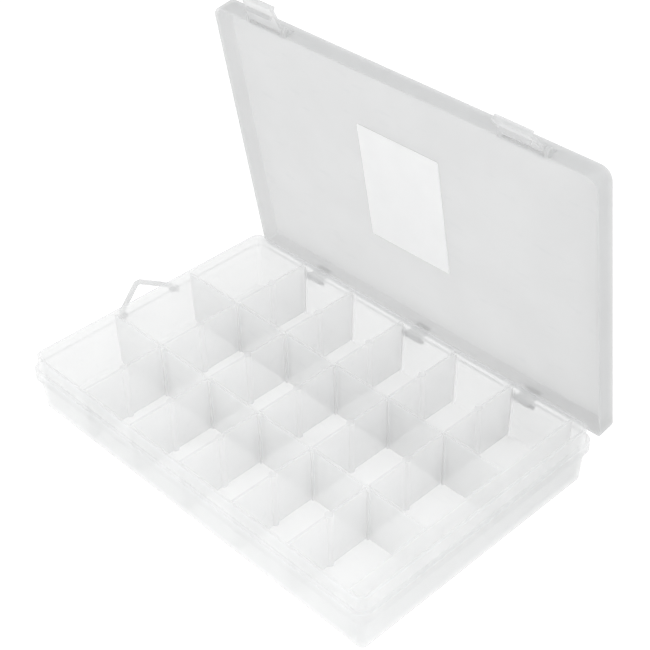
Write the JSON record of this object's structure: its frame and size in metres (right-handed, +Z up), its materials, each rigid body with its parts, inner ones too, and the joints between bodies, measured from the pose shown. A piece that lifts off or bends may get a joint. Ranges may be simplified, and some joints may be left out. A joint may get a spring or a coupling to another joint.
{
  "type": "embroidery thread box",
  "caption": "Shallow frosted plastic box for embroidery thread, shown open: tray with lift-out dividers, hinged lid with two snap latches, blank label and a swinging hang loop.",
  "frame": {"origin": "centre of the tray's underside", "axes": "+X along the box's length to the right, +Y towards the hinge, +Z up"},
  "size_m": [0.286, 0.1981, 0.2244],
  "materials": {
    "tray_plastic": "frosted translucent natural polypropylene, softly satin",
    "divider_plastic": "frosted translucent natural polypropylene, thin sheet",
    "lid_plastic": "frosted translucent natural polypropylene, smoother than the tray",
    "latch_plastic": "frosted translucent natural polypropylene",
    "label_paper": "blank matt white coated paper, faintly grained"
  },
  "bodies": {
    "tray": {"tray": "tray_plastic", "row_wall_back": "tray_plastic", "row_wall_front": "tray_plastic", "end_wall": "tray_plastic"},
    "divider_back_1": {"divider_back_1": "divider_plastic"},
    "divider_back_2": {"divider_back_2": "divider_plastic"},
    "divider_back_3": {"divider_back_3": "divider_plastic"},
    "divider_back_4": {"divider_back_4": "divider_plastic"},
    "divider_back_5": {"divider_back_5": "divider_plastic"},
    "divider_middle_1": {"divider_middle_1": "divider_plastic"},
    "divider_middle_2": {"divider_middle_2": "divider_plastic"},
    "divider_middle_3": {"divider_middle_3": "divider_plastic"},
    "divider_middle_4": {"divider_middle_4": "divider_plastic"},
    "divider_middle_5": {"divider_middle_5": "divider_plastic"},
    "divider_front_1": {"divider_front_1": "divider_plastic"},
    "divider_front_2": {"divider_front_2": "divider_plastic"},
    "divider_front_3": {"divider_front_3": "divider_plastic"},
    "divider_front_4": {"divider_front_4": "divider_plastic"},
    "divider_front_5": {"divider_front_5": "divider_plastic"},
    "lid": {"lid": "lid_plastic", "lid_label": "label_paper"},
    "latch_left": {"latch_left": "latch_plastic"},
    "latch_right": {"latch_right": "latch_plastic"},
    "hang_loop": {"hang_loop": "latch_plastic"}
  },
  "joints": [
    {"name": "lid_hinge", "type": "hinge", "parent": "tray", "child": "lid", "pos_m": [0, 0.0909, 0.026], "axis": [-1, 0, 0], "range_deg": [-80.4, 99.6]},
    {"name": "latch_left_hinge", "type": "hinge", "parent": "lid", "child": "latch_left", "pos_m": [-0.091, 0.06713, 0.20849], "axis": [-1, 0, 0], "range_deg": [-75, 100]},
    {"name": "latch_right_hinge", "type": "hinge", "parent": "lid", "child": "latch_right", "pos_m": [0.091, 0.06713, 0.20849], "axis": [-1, 0, 0], "range_deg": [-60, 115]},
    {"name": "hang_loop_hinge", "type": "hinge", "parent": "tray", "child": "hang_loop", "pos_m": [-0.1385, 0, 0.028], "axis": [0, 1, 0], "range_deg": [-130, 38]},
    {"name": "divider_back_1_lift", "type": "slide", "parent": "tray", "child": "divider_back_1", "axis": [0, 0, 1], "range_m": [0, 0.04]},
    {"name": "divider_back_2_lift", "type": "slide", "parent": "tray", "child": "divider_back_2", "axis": [0, 0, 1], "range_m": [0, 0.04]},
    {"name": "divider_back_3_lift", "type": "slide", "parent": "tray", "child": "divider_back_3", "axis": [0, 0, 1], "range_m": [0, 0.04]},
    {"name": "divider_back_4_lift", "type": "slide", "parent": "tray", "child": "divider_back_4", "axis": [0, 0, 1], "range_m": [0, 0.04]},
    {"name": "divider_back_5_lift", "type": "slide", "parent": "tray", "child": "divider_back_5", "axis": [0, 0, 1], "range_m": [0, 0.04]},
    {"name": "divider_middle_1_lift", "type": "slide", "parent": "tray", "child": "divider_middle_1", "axis": [0, 0, 1], "range_m": [0, 0.04]},
    {"name": "divider_middle_2_lift", "type": "slide", "parent": "tray", "child": "divider_middle_2", "axis": [0, 0, 1], "range_m": [0, 0.04]},
    {"name": "divider_middle_3_lift", "type": "slide", "parent": "tray", "child": "divider_middle_3", "axis": [0, 0, 1], "range_m": [0, 0.04]},
    {"name": "divider_middle_4_lift", "type": "slide", "parent": "tray", "child": "divider_middle_4", "axis": [0, 0, 1], "range_m": [0, 0.04]},
    {"name": "divider_middle_5_lift", "type": "slide", "parent": "tray", "child": "divider_middle_5", "axis": [0, 0, 1], "range_m": [0, 0.04]},
    {"name": "divider_front_1_lift", "type": "slide", "parent": "tray", "child": "divider_front_1", "axis": [0, 0, 1], "range_m": [0, 0.04]},
    {"name": "divider_front_2_lift", "type": "slide", "parent": "tray", "child": "divider_front_2", "axis": [0, 0, 1], "range_m": [0, 0.04]},
    {"name": "divider_front_3_lift", "type": "slide", "parent": "tray", "child": "divider_front_3", "axis": [0, 0, 1], "range_m": [0, 0.04]},
    {"name": "divider_front_4_lift", "type": "slide", "parent": "tray", "child": "divider_front_4", "axis": [0, 0, 1], "range_m": [0, 0.04]},
    {"name": "divider_front_5_lift", "type": "slide", "parent": "tray", "child": "divider_front_5", "axis": [0, 0, 1], "range_m": [0, 0.04]}
  ]
}
